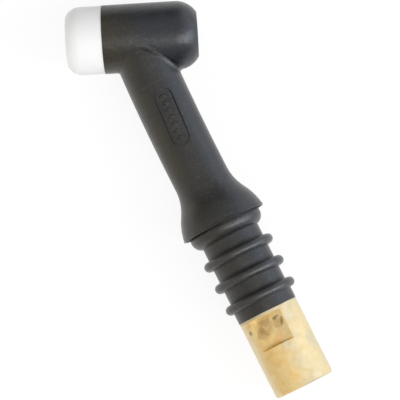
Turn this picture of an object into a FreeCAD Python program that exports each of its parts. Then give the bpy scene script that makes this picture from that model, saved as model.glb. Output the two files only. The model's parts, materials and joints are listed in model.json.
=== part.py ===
"""Body of an air-cooled TIG torch: a brazed brass and copper core in a rubber moulding.

Frame: the origin is the centre of the cable socket's mouth. +X runs along the neck, out of the
socket; the nozzle side of the head is at -Y; Z is square to the plane in which the torch bends.
"Head" coordinates have their origin where the head's axis crosses the neck's, with X towards
the nozzle. All sizes are in millimetres and degrees.
"""

import FreeCAD, Part
import math
import os
import re

import Sketcher
from FreeCAD import Placement, Rotation, Vector

# Driving sizes: name, value, what it is.
SIZES = [
    # Layout
    ("neck_reach", 142.7, "socket's mouth to the head's axis, along the neck"),
    ("head_lean", 23.2, "head's axis away from square to the neck"),
    # Head of the moulding
    ("head_radius", 12.7, "outside of the head"),
    ("head_front", 10.0, "crossing of the axes to the front face"),
    ("head_back", 24.8, "crossing of the axes to the back face"),
    ("back_round", 9.0, "radius of the rounded back edge"),
    ("back_sweep", 60.0, "how far round that arc runs before the flat back face"),
    ("cap_recess_radius", 6.6, "hole for the back cap's collar"),
    ("cap_recess_depth", 4.5, "back face to the metal core"),
    ("gasket_socket_radius", 9.8, "counterbore that takes the cup gasket"),
    ("gasket_socket_depth", 4.2, "front face to the core's shoulder"),
    # Neck of the moulding
    ("neck_radius", 10.4, "neck, in the plane of the bend"),
    ("neck_inset", 0.7, "how far the neck's flanks lie inside the head's, at the head"),
    ("neck_shift", 1.5, "the neck's offset to the back of the head, at the head"),
    ("waist_place", 36.0, "head's axis to the neck's middle section"),
    ("waist_shift", 0.05, "the neck's offset to the back of the head, there"),
    ("crease_round_front", 1.6, "fillet between neck and head, on the nozzle side"),
    ("crease_round_back", 0.4, "the same fillet on the cap side, where it is almost sharp"),
    # Skirt over the handle's end
    ("skirt_radius", 16.1, "rim of the skirt"),
    ("skirt_place", 65.9, "socket's mouth to the rim"),
    ("flare_angle", 30.6, "steepest slope of the flare, to the neck's axis"),
    ("flare_crown", 25.0, "radius of the flare's rounded shoulder"),
    ("rim_angle", 8.0, "slope of that shoulder at the rim"),
    ("skirt_lip", 0.8, "thickness of the skirt at the rim"),
    ("skirt_wall", 1.6, "thickness of the skirt at the groove's floor"),
    ("groove_depth", 3.8, "depth of the groove that takes the handle's end"),
    # Handle stem
    ("stem_radius", 11.1, "between the rings"),
    ("stem_end_radius", 11.5, "the last band, beside the cable socket"),
    ("ring_half_width", 1.54, "half the width of a gripping ring at its root"),
    ("ring_height", 2.74, "how far a ring stands out of the stem"),
    ("ring_pitch", 8.8, "ring to ring"),
    ("ring_count", 3, "number of equal rings"),
    ("last_ring_place", 36.2, "socket's mouth to the nearest ring"),
    ("bead_half_width", 3.9, "half the width of the broad bead under the skirt"),
    ("bead_height", 2.93, "how far the bead stands out of the stem"),
    ("bead_place", 64.35, "socket's mouth to the bead"),
    ("root_depth", 1.0, "how deep the rings and the bead reach into the stem"),
    # Moulded mark field, left plain
    ("mark_place", 34.2, "head's axis to the middle of the field, along the neck"),
    ("mark_length", 22.7, "end to end"),
    ("mark_width", 7.0, "side to side"),
    ("mark_offset", 0.4, "middle of the field off the neck's axis"),
    ("mark_depth", 0.5, "depth of the field"),
    ("mark_turn", 3.5, "how far the field is turned off the neck's axis"),
    # Head core
    ("core_radius", 8.6, "barrel of the core"),
    ("nose_radius", 6.8, "nose inside the gasket"),
    ("nose_length", 10.0, "nose beyond the barrel"),
    ("collet_thread_radius", 4.76, "major radius of the collet body's thread, 3/8 inch"),
    ("collet_thread_length", 12.0, "nose's end to the gas chamber"),
    ("cap_thread_radius", 5.56, "major radius of the back cap's thread, 7/16 inch"),
    ("cap_thread_length", 10.0, "core's back end to the gas chamber"),
    ("chamber_radius", 4.2, "gas chamber between the threads"),
    ("boss_radius", 7.2, "boss that the neck tube is brazed into"),
    ("boss_reach", 15.0, "head's axis to the end of the boss"),
    # Neck tube
    ("tube_radius", 4.75, "outside of the tube"),
    ("tube_bore_radius", 3.2, "gas way"),
    ("tube_stop", 8.5, "head's axis to the tube's end in the boss"),
    ("braze_gap", 0.05, "radial gap that the solder fills"),
    ("solder_size", 1.8, "size of the solder fillets at both ends of the tube"),
    # Cable socket
    ("socket_radius", 11.35, "outside of the socket"),
    ("socket_length", 30.2, "the part outside the rubber"),
    ("socket_edge", 0.6, "chamfers of the mouth"),
    ("cable_thread_radius", 8.0, "major radius of the cable thread, M16 x 1.5"),
    ("cable_thread_length", 16.0, "mouth to the end of the thread"),
    ("seat_half_angle", 45.0, "cone that the hose's nipple seals on"),
    ("shank_radius", 8.2, "shank inside the rubber"),
    ("shank_length", 22.0, "shoulder to the shank's end"),
    ("key_depth", 1.0, "depth of the grooves that key the rubber"),
    ("key_width", 2.6, "width of a key groove"),
    ("key_pitch", 6.5, "groove to groove"),
    ("key_count", 2, "number of key grooves"),
    ("tube_entry", 11.0, "how far the tube goes into the shank"),
    ("flat_distance", 9.5, "axis to a spanner flat, for a 19 mm spanner"),
    ("flat_length", 11.8, "length of a spanner flat"),
    ("flat_start", 1.1, "rubber to the start of a flat"),
    ("flat_turn", 12.4, "how far the flats are turned about the neck's axis"),
    # Cup gasket
    ("gasket_radius", 12.55, "outside of the gasket"),
    ("gasket_length", 13.5, "the part outside the head"),
    ("gasket_round_length", 5.2, "rounded front edge, along the axis"),
    ("gasket_tip_wall", 1.4, "wall outside the cup's recess, at the tip"),
    ("spigot_clearance", 0.3, "gasket's back end to the core's shoulder"),
    ("gasket_fit", 0.05, "radial clearance of the push fit in the head"),
    ("nose_clearance", 0.1, "radial clearance of the gasket on the core's nose"),
    ("cup_recess_radius", 8.0, "recess for the rim of the ceramic cup"),
    ("cup_recess_depth", 5.0, "depth of that recess"),
]

# Places that several pieces share, as formulas of the sizes.
FACE_FRONT = "head_front"
CORE_BACK = "(cap_recess_depth - head_back)"
CORE_SHOULDER = "(head_front - gasket_socket_depth)"
NOSE_END = f"({CORE_SHOULDER} + nose_length)"
BOSS_END = "(boss_reach - neck_reach)"
TUBE_HEAD_END = "(tube_stop - neck_reach)"
SHOULDER = "(0 - socket_length)"
SHANK_END = f"({SHOULDER} - shank_length)"
TUBE_TAIL_END = f"({SHANK_END} + tube_entry)"
CROWN_RUN = "(flare_crown * (sin(flare_angle) - sin(rim_angle)))"
CROWN_DROP = "(flare_crown * (cos(rim_angle) - cos(flare_angle)))"
FLARE_ROOT = f"((skirt_radius - {CROWN_DROP} - neck_radius) / (1 - cos(flare_angle)))"
FLARE_END = f"(0 - skirt_place - {CROWN_RUN} - {FLARE_ROOT} * sin(flare_angle))"
SEAT_RADIUS = "(tube_radius + braze_gap)"

doc = FreeCAD.newDocument("TigTorchBody")
sheet = doc.addObject("Spreadsheet::Sheet", "Sizes")
for row, (alias, value, meaning) in enumerate(SIZES, start=1):
    sheet.set(f"A{row}", meaning)
    sheet.set(f"B{row}", str(value))
    sheet.setAlias(f"B{row}", alias)
doc.recompute()

ALIAS = re.compile(r"\b(" + "|".join(alias for alias, _, _ in SIZES) + r")\b")
HEAD_WAY = Rotation(Vector(0, 0, 1), -90 - float(sheet.get("head_lean")))
PARTS = {}  # node name: the object whose shape is that node


# ------------------------------------------------------------------ helpers


def formula(text):
    """A formula of size names, spelt for FreeCAD's expressions."""
    return ALIAS.sub(r"Sizes.\1", text)


def number(text):
    """The value of a formula."""
    return float(sheet.evalExpression(formula(text)))


def bind(thing, path, text):
    """Binds a property of a document object to a formula."""
    thing.setExpression(path, formula(text))


def part(thing, name):
    """Registers an object as the sub-part of that name."""
    thing.Label = name
    PARTS[name] = thing
    return thing


def new_sketch(body, name, role="XY_Plane", place="0"):
    """A sketch on one of the body's origin planes, moved along its normal to a place."""
    sketch = body.newObject("Sketcher::SketchObject", name)
    plane = next(o for o in body.Origin.OriginFeatures if o.Role == role)
    sketch.AttachmentSupport = [(plane, "")]
    sketch.MapMode = "FlatFace"
    bind(sketch, "AttachmentOffset.Base.z", place)
    return sketch


def constrain(sketch, kind, text, *where):
    """Adds a dimension whose value is a formula."""
    held = sketch.addConstraint(Sketcher.Constraint(kind, *where, number(text)))
    bind(sketch, f"Constraints[{held}]", text)


def arc_between(start, end, radius, side):
    """An arc that bulges to the left (side 1) or right (side -1) of the way from start to end.

    Returns the arc and the sketcher's numbers for its points at start and end.
    """
    way = end - start
    left = Vector(-way.y, way.x, 0).normalize()
    depth = math.sqrt(radius**2 - (way.Length / 2) ** 2)
    centre = (start + end) / 2 - left * depth * side
    first, last = [math.atan2(p.y - centre.y, p.x - centre.x) for p in (start, end)]
    circle = Part.Circle(centre, Vector(0, 0, 1), radius)
    if side > 0:
        return Part.ArcOfCircle(circle, last, first), 2, 1
    return Part.ArcOfCircle(circle, first, last), 1, 2


def draw(sketch, corners, arcs=None):
    """Draws a closed outline and dimensions it from the sheet.

    corners are pairs of formulas. arcs maps the number of an edge to its radius and side, as
    arc_between takes them, and the other edges are straight.
    """
    arcs = arcs or {}
    points = [Vector(number(x), number(y), 0) for x, y in corners]
    edges = []
    for i, start in enumerate(points):
        end = points[(i + 1) % len(points)]
        if i in arcs:
            radius, side = arcs[i]
            curve, first, last = arc_between(start, end, number(radius), side)
        else:
            curve, first, last = Part.LineSegment(start, end), 1, 2
        edges.append((sketch.addGeometry(curve, False), first, last))
    for i, (edge, first, _) in enumerate(edges):
        before, _, before_last = edges[i - 1]
        meet = Sketcher.Constraint("Coincident", before, before_last, edge, first)
        sketch.addConstraint(meet)
        for kind, text, axis in (("DistanceX", corners[i][0], -2), ("DistanceY", corners[i][1], -1)):
            if text == "0":
                on_axis = Sketcher.Constraint("PointOnObject", edge, first, axis)
                sketch.addConstraint(on_axis)
            else:
                constrain(sketch, kind, text, -1, 1, edge, first)
        if i in arcs:
            constrain(sketch, "Radius", arcs[i][0], edge)


def revolve(body, name, corners, arcs=None):
    """Turns an outline in the body's XY plane about its X axis."""
    sketch = new_sketch(body, name + "Profile")
    draw(sketch, corners, arcs)
    turned = body.newObject("PartDesign::Revolution", name)
    turned.Profile = sketch
    turned.ReferenceAxis = (sketch, ["H_Axis"])
    turned.Angle = 360
    return turned


def put_on_head(thing):
    """Moves an object from head coordinates to its place on the torch."""
    thing.Placement = Placement(Vector(), HEAD_WAY)
    bind(thing, "Placement.Base.x", "0 - neck_reach")
    bind(thing, "Placement.Rotation.Angle", "0 - 90 - head_lean")
    return thing


def rod(name, start, end, radius):
    """A round rod on the neck's axis, from one place to another."""
    solid = doc.addObject("Part::Cylinder", name)
    solid.Placement = Placement(Vector(), Rotation(Vector(0, 1, 0), 90))
    bind(solid, "Placement.Base.x", start)
    bind(solid, "Height", f"{end} - {start}")
    bind(solid, "Radius", radius)
    return solid


def fuse(name, *things):
    joined = doc.addObject("Part::MultiFuse", name)
    joined.Shapes = list(things)
    joined.Refine = True
    return joined


def cut(name, base, tool):
    result = doc.addObject("Part::Cut", name)
    result.Base = base
    result.Tool = tool
    result.Refine = True
    return result


# ---------------------------------------------------------------- head core


def core_blank():
    """Outside of the core: a turned barrel with a nose, and the boss for the neck tube."""
    barrel = put_on_head(doc.addObject("PartDesign::Body", "CoreBarrel"))
    revolve(
        barrel,
        "BarrelTurning",
        [
            (CORE_BACK, "0"),
            (CORE_BACK, "core_radius"),
            (CORE_SHOULDER, "core_radius"),
            (CORE_SHOULDER, "nose_radius"),
            (NOSE_END, "nose_radius"),
            (NOSE_END, "0"),
        ],
    )
    boss = rod("CoreBoss", "(0 - neck_reach)", BOSS_END, "boss_radius")
    return fuse("CoreBlank", barrel, boss)


def head_core(blank):
    """The core with its two threaded holes, the gas chamber and the seat of the neck tube."""
    holes = put_on_head(doc.addObject("PartDesign::Body", "CoreHoles"))
    revolve(
        holes,
        "HoleTurning",
        [
            (CORE_BACK, "0"),
            (CORE_BACK, "cap_thread_radius"),
            (f"{CORE_BACK} + cap_thread_length", "cap_thread_radius"),
            (f"{CORE_BACK} + cap_thread_length", "chamber_radius"),
            (f"{NOSE_END} - collet_thread_length", "chamber_radius"),
            (f"{NOSE_END} - collet_thread_length", "collet_thread_radius"),
            (NOSE_END, "collet_thread_radius"),
            (NOSE_END, "0"),
        ],
    )
    port = rod("GasPort", "(0 - neck_reach)", TUBE_HEAD_END, "tube_bore_radius")
    seat = rod("TubeSeat", TUBE_HEAD_END, BOSS_END, SEAT_RADIUS)
    return part(cut("HeadCore", blank, fuse("CoreCuts", holes, port, seat)), "head_core")


# ---------------------------------------------------- neck tube and solder


def neck_tube(blank):
    """The copper tube that carries the current and the gas."""
    bore = rod("TubeBore", TUBE_HEAD_END, TUBE_TAIL_END, "tube_bore_radius")
    return part(cut("NeckTube", blank, bore), "neck_tube")


def solder_ring(name, label, face, sign):
    """A fillet of silver solder on the tube, against the face that it enters."""
    body = doc.addObject("PartDesign::Body", name)
    revolve(
        body,
        name + "Fillet",
        [
            (face, "tube_radius"),
            (face, "tube_radius + solder_size"),
            (f"{face} {sign} solder_size", "tube_radius"),
        ],
    )
    return part(body, label)


# ------------------------------------------------------------- cable socket


def socket_blank():
    """Outside of the socket: head with a chamfered mouth, and a shank grooved for the rubber."""
    body = doc.addObject("PartDesign::Body", "SocketBlank")
    revolve(
        body,
        "SocketTurning",
        [
            (SHANK_END, "0"),
            (SHANK_END, "shank_radius"),
            (SHOULDER, "shank_radius"),
            (SHOULDER, "socket_radius"),
            ("0 - socket_edge", "socket_radius"),
            ("0", "socket_radius - socket_edge"),
            ("0", "0"),
        ],
    )
    doc.recompute()
    sketch = new_sketch(body, "KeyProfile")
    first = f"({SHANK_END} + key_pitch - key_width / 2)"
    draw(
        sketch,
        [
            (first, "shank_radius - key_depth"),
            (first, "shank_radius + key_depth"),
            (f"{first} + key_width", "shank_radius + key_depth"),
            (f"{first} + key_width", "shank_radius - key_depth"),
        ],
    )
    key = body.newObject("PartDesign::Groove", "KeyGroove")
    key.Profile = sketch
    key.ReferenceAxis = (sketch, ["H_Axis"])
    key.Angle = 360
    keys = body.newObject("PartDesign::LinearPattern", "KeyGrooves")
    keys.Originals = [key]
    keys.Direction = (sketch, ["H_Axis"])
    bind(keys, "Length", "key_pitch * (key_count - 1)")
    bind(keys, "Occurrences", "key_count")
    body.Tip = keys
    return body


def socket_holes():
    """Inside of the socket: thread, sealing cone, gas way and the neck tube's seat."""
    body = doc.addObject("PartDesign::Body", "SocketHoles")
    cone_depth = "(cable_thread_radius - tube_bore_radius) / tan(seat_half_angle)"
    revolve(
        body,
        "SocketBoring",
        [
            (SHANK_END, "0"),
            (SHANK_END, SEAT_RADIUS),
            (TUBE_TAIL_END, SEAT_RADIUS),
            (TUBE_TAIL_END, "tube_bore_radius"),
            (f"0 - cable_thread_length - {cone_depth}", "tube_bore_radius"),
            ("0 - cable_thread_length", "cable_thread_radius"),
            ("0 - socket_edge", "cable_thread_radius"),
            ("0", "cable_thread_radius + socket_edge"),
            ("0", "0"),
        ],
    )
    return body


def spanner_flats():
    """What is milled off the socket for a spanner: two slabs, on opposite sides."""
    slabs = []
    for name, turn in (("FlatNear", "flat_turn"), ("FlatFar", "flat_turn + 180")):
        slab = doc.addObject("Part::Box", name)
        bind(slab, "Length", "flat_length")
        bind(slab, "Width", "2 * socket_radius")
        bind(slab, "Height", "socket_radius")
        holder = doc.addObject("Part::Compound", name + "Turned")
        holder.Links = [slab]
        bind(slab, "Placement.Base.x", f"{SHOULDER} + flat_start")
        bind(slab, "Placement.Base.y", "0 - socket_radius")
        bind(slab, "Placement.Base.z", "flat_distance")
        holder.Placement = Placement(Vector(), Rotation(Vector(1, 0, 0), 1))
        bind(holder, "Placement.Rotation.Angle", turn)
        slabs.append(holder)
    return slabs


def cable_socket(blank):
    """Brass socket for the power and gas cable."""
    cuts = fuse("SocketCuts", socket_holes(), *spanner_flats())
    return part(cut("CableSocket", blank, cuts), "cable_socket")


# --------------------------------------------------------------- cup gasket


def cup_gasket():
    """White PTFE ring that insulates the cup: pushed into the head, over the core's nose."""
    body = put_on_head(doc.addObject("PartDesign::Body", "CupGasket"))
    back = f"({CORE_SHOULDER} + spigot_clearance)"
    tip = f"({FACE_FRONT} + gasket_length)"
    bore = "nose_radius + nose_clearance"
    spigot = "gasket_socket_radius - gasket_fit"
    tip_radius = "(cup_recess_radius + gasket_tip_wall)"
    drop = f"(gasket_radius - {tip_radius})"
    round_radius = f"(gasket_round_length^2 + {drop}^2) / (2 * {drop})"
    revolve(
        body,
        "GasketTurning",
        [
            (back, bore),
            (back, spigot),
            (FACE_FRONT, spigot),
            (FACE_FRONT, "gasket_radius"),
            (f"{tip} - gasket_round_length", "gasket_radius"),
            (tip, tip_radius),
            (tip, "cup_recess_radius"),
            (f"{tip} - cup_recess_depth", "cup_recess_radius"),
            (f"{tip} - cup_recess_depth", bore),
        ],
        {4: (round_radius, 1)},
    )
    return part(body, "cup_gasket")


# ---------------------------------------------------------- rubber moulding


def head_shell():
    """Round head with a rounded back edge."""
    body = put_on_head(doc.addObject("PartDesign::Body", "HeadShell"))
    revolve(
        body,
        "HeadTurning",
        [
            ("0 - head_back", "0"),
            ("0 - head_back", "head_radius - back_round * (1 - cos(back_sweep))"),
            ("back_round * sin(back_sweep) - head_back", "head_radius"),
            (FACE_FRONT, "head_radius"),
            (FACE_FRONT, "0"),
        ],
        {1: ("back_round", 1)},
    )
    return body


def neck_section(body, name, place, shift, half_depth, half_width):
    """An oval across the neck, in the plane x = place."""
    sketch = new_sketch(body, name, "YZ_Plane", place)
    centre = Vector(number(shift), 0, 0)
    top = centre + Vector(0, number(half_depth), 0)
    side = centre - Vector(number(half_width), 0, 0)
    edge = sketch.addGeometry(Part.Ellipse(top, side, centre), False)
    sketch.exposeInternalGeometry(edge)
    long_axis, short_axis = edge + 1, edge + 2
    sketch.addConstraint(Sketcher.Constraint("Vertical", long_axis))
    sketch.addConstraint(Sketcher.Constraint("PointOnObject", edge, 3, -1))
    constrain(sketch, "DistanceX", shift, -1, 1, edge, 3)
    constrain(sketch, "Distance", f"2 * ({half_depth})", long_axis)
    constrain(sketch, "Distance", f"2 * ({half_width})", short_axis)
    return sketch


def neck_form(name, inset):
    """The neck from the head's axis to the flare: oval at the head, round at the flare.

    The middle section lies on the parabola that runs out level at the flare.
    """
    body = doc.addObject("PartDesign::Body", name)
    half_width = f"neck_radius - {inset}"
    head_depth = f"head_radius - neck_inset - {inset}"
    share = f"(({FLARE_END} - waist_place + neck_reach) / ({FLARE_END} + neck_reach))^2"
    waist_depth = f"{half_width} + ({head_depth} - ({half_width})) * {share}"
    at_head = neck_section(
        body, name + "AtHead", "0 - neck_reach", "neck_shift", head_depth, half_width
    )
    at_waist = neck_section(
        body, name + "AtWaist", "waist_place - neck_reach", "waist_shift", waist_depth, half_width
    )
    at_flare = new_sketch(body, name + "AtFlare", "YZ_Plane", FLARE_END)
    ring = at_flare.addGeometry(Part.Circle(Vector(), Vector(0, 0, 1), number(half_width)), False)
    at_flare.addConstraint(Sketcher.Constraint("Coincident", ring, 3, -1, 1))
    constrain(at_flare, "Radius", half_width, ring)
    loft = body.newObject("PartDesign::AdditiveLoft", name + "Loft")
    loft.Profile = at_head
    loft.Sections = [at_waist, at_flare]
    return body


def bulge(body, name, place, half_width, height):
    """A round ring standing on the stem, its section an arc over a chord."""
    root = "stem_radius - root_depth"
    radius = f"({half_width}^2 + {height}^2) / (2 * {height})"
    return revolve(
        body,
        name,
        [
            (f"0 - {place} - {half_width}", root),
            (f"0 - {place} - {half_width}", "stem_radius"),
            (f"0 - {place}", f"stem_radius + {height}"),
            (f"0 - {place} + {half_width}", "stem_radius"),
            (f"0 - {place} + {half_width}", root),
        ],
        {1: (radius, 1), 2: (radius, 1)},
    )


def stem_form():
    """Flared skirt with the handle's groove under it, and the stem with its bead and rings."""
    body = doc.addObject("PartDesign::Body", "Stem")
    rim = "0 - skirt_place"
    floor = f"{rim} - groove_depth"
    floor_sine = "(sin(rim_angle) + groove_depth / flare_crown)"
    floor_drop = f"flare_crown * (cos(rim_angle) - sqrt(1 - {floor_sine}^2))"
    revolve(
        body,
        "StemTurning",
        [
            (SHOULDER, "0"),
            (SHOULDER, "stem_end_radius"),
            ("0 - last_ring_place", "stem_end_radius"),
            ("0 - last_ring_place", "stem_radius"),
            (floor, "stem_radius"),
            (floor, f"skirt_radius - skirt_wall - {floor_drop}"),
            (rim, "skirt_radius - skirt_lip"),
            (rim, "skirt_radius"),
            (f"{rim} - {CROWN_RUN}", f"skirt_radius - {CROWN_DROP}"),
            (FLARE_END, "neck_radius"),
            (FLARE_END, "0"),
        ],
        {7: ("flare_crown", -1), 8: (FLARE_ROOT, 1)},
    )
    bulge(body, "Bead", "bead_place", "bead_half_width", "bead_height")
    ring = bulge(body, "Ring", "last_ring_place", "ring_half_width", "ring_height")
    rings = body.newObject("PartDesign::LinearPattern", "Rings")
    rings.Originals = [ring]
    rings.Direction = (ring.Profile[0], ["H_Axis"])
    rings.Reversed = True
    bind(rings, "Length", "ring_pitch * (ring_count - 1)")
    bind(rings, "Occurrences", "ring_count")
    body.Tip = rings
    return body


def crease_edges(shape):
    """The numbered edges where the neck's lofted surface meets the head's turned one.

    The loft's other edges are its seams, between two lofted faces, and its circle at the flare.
    """
    for place, edge in enumerate(shape.Edges, start=1):
        meeting = [type(face.Surface) for face in shape.ancestorsOfType(edge, Part.Face)]
        lofted = meeting.count(Part.BSplineSurface)
        if lofted == 1 and not isinstance(edge.Curve, Part.Circle):
            yield place, edge


def crease_fillet(outside):
    """Blends the neck into the head: softly on the nozzle side, hardly at all on the cap side."""
    doc.recompute()
    way = HEAD_WAY.multVec(Vector(1, 0, 0))
    crease = [
        (place, [edge.valueAt(end).dot(way) for end in (edge.FirstParameter, edge.LastParameter)])
        for place, edge in crease_edges(outside.Shape)
    ]
    reaches = [reach for _, ends in crease for reach in ends]
    back, front = min(reaches), max(reaches)

    def radius(reach):
        share = (reach - back) / (front - back)
        return number("crease_round_back") * (1 - share) + number("crease_round_front") * share

    blend = doc.addObject("Part::Fillet", "MouldingBlended")
    blend.Base = outside
    blend.Edges = [(place, radius(first), radius(last)) for place, (first, last) in crease]
    return blend


def mark_field():
    """The shallow obround field on the neck: its outline, down to a floor that follows the neck."""
    body = doc.addObject("PartDesign::Body", "MarkOutline")
    body.Placement = Placement(Vector(), Rotation(Vector(0, 0, 1), -number("mark_turn")))
    bind(body, "Placement.Base.x", "mark_place - neck_reach")
    bind(body, "Placement.Base.y", "mark_offset")
    bind(body, "Placement.Rotation.Angle", "0 - mark_turn")
    sketch = new_sketch(body, "MarkProfile")
    half = "mark_length / 2"
    end = "mark_width / 2"
    straight = f"({half} - {end})"
    draw(
        sketch,
        [
            (f"0 - {straight}", f"0 - {end}"),
            (straight, f"0 - {end}"),
            (half, "0"),
            (straight, end),
            (f"0 - {straight}", end),
            (f"0 - {half}", "0"),
        ],
        {1: (end, -1), 2: (end, -1), 4: (end, -1), 5: (end, -1)},
    )
    pad = body.newObject("PartDesign::Pad", "MarkPad")
    pad.Profile = sketch
    bind(pad, "Length", "head_radius")
    return cut("MarkField", body, neck_form("NeckUnderMark", "mark_depth"))


def moulding_cavity(*metal):
    """What the rubber leaves free: the metal inside it, the gasket's socket, the cap's recess."""
    openings = put_on_head(doc.addObject("PartDesign::Body", "HeadOpenings"))
    revolve(
        openings,
        "OpeningTurning",
        [
            ("0 - head_back", "0"),
            ("0 - head_back", "cap_recess_radius"),
            (CORE_BACK, "cap_recess_radius"),
            (CORE_SHOULDER, "cap_recess_radius"),
            (CORE_SHOULDER, "gasket_socket_radius"),
            (FACE_FRONT, "gasket_socket_radius"),
            (FACE_FRONT, "0"),
        ],
    )
    return fuse("MouldingCavity", openings, *metal)


def rubber_body(*metal):
    """The moulding: head, neck, skirt and ringed stem in one, round the metal."""
    outside = fuse("MouldingOutside", head_shell(), neck_form("Neck", "0"), stem_form())
    marked = cut("MouldingMarked", crease_fillet(outside), mark_field())
    return part(cut("RubberBody", marked, moulding_cavity(*metal)), "rubber_body")


# ------------------------------------------------------------------- build


def problems():
    """Everything that stops the model from being written."""
    found = [f"{o.Label}: {o.State}" for o in doc.Objects if {"Invalid", "Error"} & set(o.State)]
    for name, thing in PARTS.items():
        if thing.Shape.isNull() or not thing.Shape.isValid():
            found.append(f"{name}: no valid shape")
        elif len(thing.Shape.Solids) != 1:
            found.append(f"{name}: {len(thing.Shape.Solids)} solids")
    return found


def build():
    core = core_blank()
    head_core(core)
    tube = rod("TubeBlank", TUBE_HEAD_END, TUBE_TAIL_END, "tube_radius")
    neck_tube(tube)
    head_solder = solder_ring("HeadSolder", "head_solder_ring", BOSS_END, "+")
    socket_solder = solder_ring("SocketSolder", "socket_solder_ring", SHANK_END, "-")
    socket = socket_blank()
    cable_socket(socket)
    cup_gasket()
    rubber_body(core, tube, head_solder, socket_solder, socket)
    doc.recompute()
    found = problems()
    if found:
        raise RuntimeError("; ".join(found))
    os.makedirs("parts", exist_ok=True)
    for name, thing in PARTS.items():
        thing.Shape.exportStep(f"parts/{name}.step")
        print(f"{name}: {thing.Shape.Volume / 1000:.2f} cm3")


build()
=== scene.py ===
"""A TIG torch body on a plain pale floor: finishes, fine moulded and cut detail, light and camera.

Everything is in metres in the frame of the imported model. The socket's mouth is at x = 0, the
neck runs towards -x, and the head leans in the plane z = 0.
"""

import json
import logging
import math
from dataclasses import dataclass
from enum import Enum

import bpy
import numpy as np
from mathutils import Matrix, Vector


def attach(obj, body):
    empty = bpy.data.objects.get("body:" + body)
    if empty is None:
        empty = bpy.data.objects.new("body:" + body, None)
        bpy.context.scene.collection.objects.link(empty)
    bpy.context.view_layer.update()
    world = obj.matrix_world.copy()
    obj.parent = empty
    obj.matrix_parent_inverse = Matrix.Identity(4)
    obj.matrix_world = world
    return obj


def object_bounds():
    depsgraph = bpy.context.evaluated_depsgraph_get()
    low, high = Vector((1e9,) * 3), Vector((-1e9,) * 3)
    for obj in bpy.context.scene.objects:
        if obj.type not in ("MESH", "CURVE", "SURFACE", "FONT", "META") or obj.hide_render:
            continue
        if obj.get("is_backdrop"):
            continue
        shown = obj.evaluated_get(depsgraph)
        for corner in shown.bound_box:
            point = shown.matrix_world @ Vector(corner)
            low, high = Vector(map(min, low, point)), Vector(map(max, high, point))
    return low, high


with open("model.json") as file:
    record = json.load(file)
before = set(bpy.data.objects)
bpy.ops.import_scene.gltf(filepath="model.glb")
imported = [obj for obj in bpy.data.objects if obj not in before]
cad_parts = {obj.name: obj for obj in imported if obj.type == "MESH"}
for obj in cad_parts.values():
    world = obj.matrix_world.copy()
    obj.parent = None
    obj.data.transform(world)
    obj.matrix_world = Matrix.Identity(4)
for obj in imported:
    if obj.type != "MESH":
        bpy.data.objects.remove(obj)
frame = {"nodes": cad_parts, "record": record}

MM = 0.001
WHITE = (1.0, 1.0, 1.0)
log = logging.getLogger("tig_torch")

Array = np.ndarray
Colour = tuple[float, float, float]
Place = tuple[float, float, float]
Span = tuple[float, float]
Material = bpy.types.Material
Piece = bpy.types.Object
Socket = bpy.types.NodeSocket


class Body(Enum):
    """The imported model's two bodies."""

    TORCH = "torch"
    GASKET = "gasket"


class Slot(Enum):
    """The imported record's finishes that new pieces take."""

    RUBBER = "moulded_rubber"
    SOCKET_BRASS = "socket_brass"
    CORE_BRASS = "core_brass"


# ------------------------------------------------------------------ surfaces


def unit(rows: Array) -> Array:
    """Scales each row of an array to length 1.

    Args:
        rows: Vectors, one to a row.

    Returns:
        The same vectors at length 1.
    """
    return rows / np.linalg.norm(rows, axis=-1, keepdims=True)


def grid_faces(rows: int, columns: int, ring_rows: bool) -> Array:
    """Joins the neighbours of a grid of points into four-sided faces; its columns form rings.

    Args:
        rows: Number of points along the first parameter.
        columns: Number of points along the second.
        ring_rows: Whether the last row joins the first.

    Returns:
        Four point numbers for each face.
    """
    first = np.arange(rows if ring_rows else rows - 1)[:, None]
    second = np.arange(columns)[None, :]
    next_first, next_second = (first + 1) % rows, (second + 1) % columns
    corners = (
        first * columns + second,
        first * columns + next_second,
        next_first * columns + next_second,
        next_first * columns + second,
    )
    return np.stack(corners, axis=-1).reshape(-1, 4)


def enclosed_volume(points: Array, faces: Array) -> float:
    """Sums the signed volumes between the origin and each face's two triangles.

    Args:
        points: Places of the points.
        faces: Four point numbers for each face.

    Returns:
        The volume, positive where the faces point outwards.
    """
    a, b, c, d = (points[faces[:, corner]] for corner in range(4))
    halves = np.einsum("ij,ij->i", a, np.cross(b, c)) + np.einsum("ij,ij->i", a, np.cross(c, d))
    return float(halves.sum() / 6)


def show(name: str, data: bpy.types.ID) -> Piece:
    """Puts an object into the scene.

    Args:
        name: The object's name.
        data: Its mesh, light or camera.

    Returns:
        The object.
    """
    thing = bpy.data.objects.new(name, data)
    bpy.context.scene.collection.objects.link(thing)
    return thing


def mesh_piece(name: str, points: Array, polygons: list[list[int]], smooth: bool = False) -> Piece:
    """Makes a mesh from points and faces and puts it into the scene.

    Args:
        name: The piece's name.
        points: Places of the points, one to a row.
        polygons: Point numbers of each face.
        smooth: Whether it is shaded smooth.

    Returns:
        The new object.
    """
    mesh = bpy.data.meshes.new(name)
    mesh.from_pydata(points.tolist(), [], polygons)
    mesh.polygons.foreach_set("use_smooth", np.full(len(polygons), smooth))
    mesh.update()
    return show(name, mesh)


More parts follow.
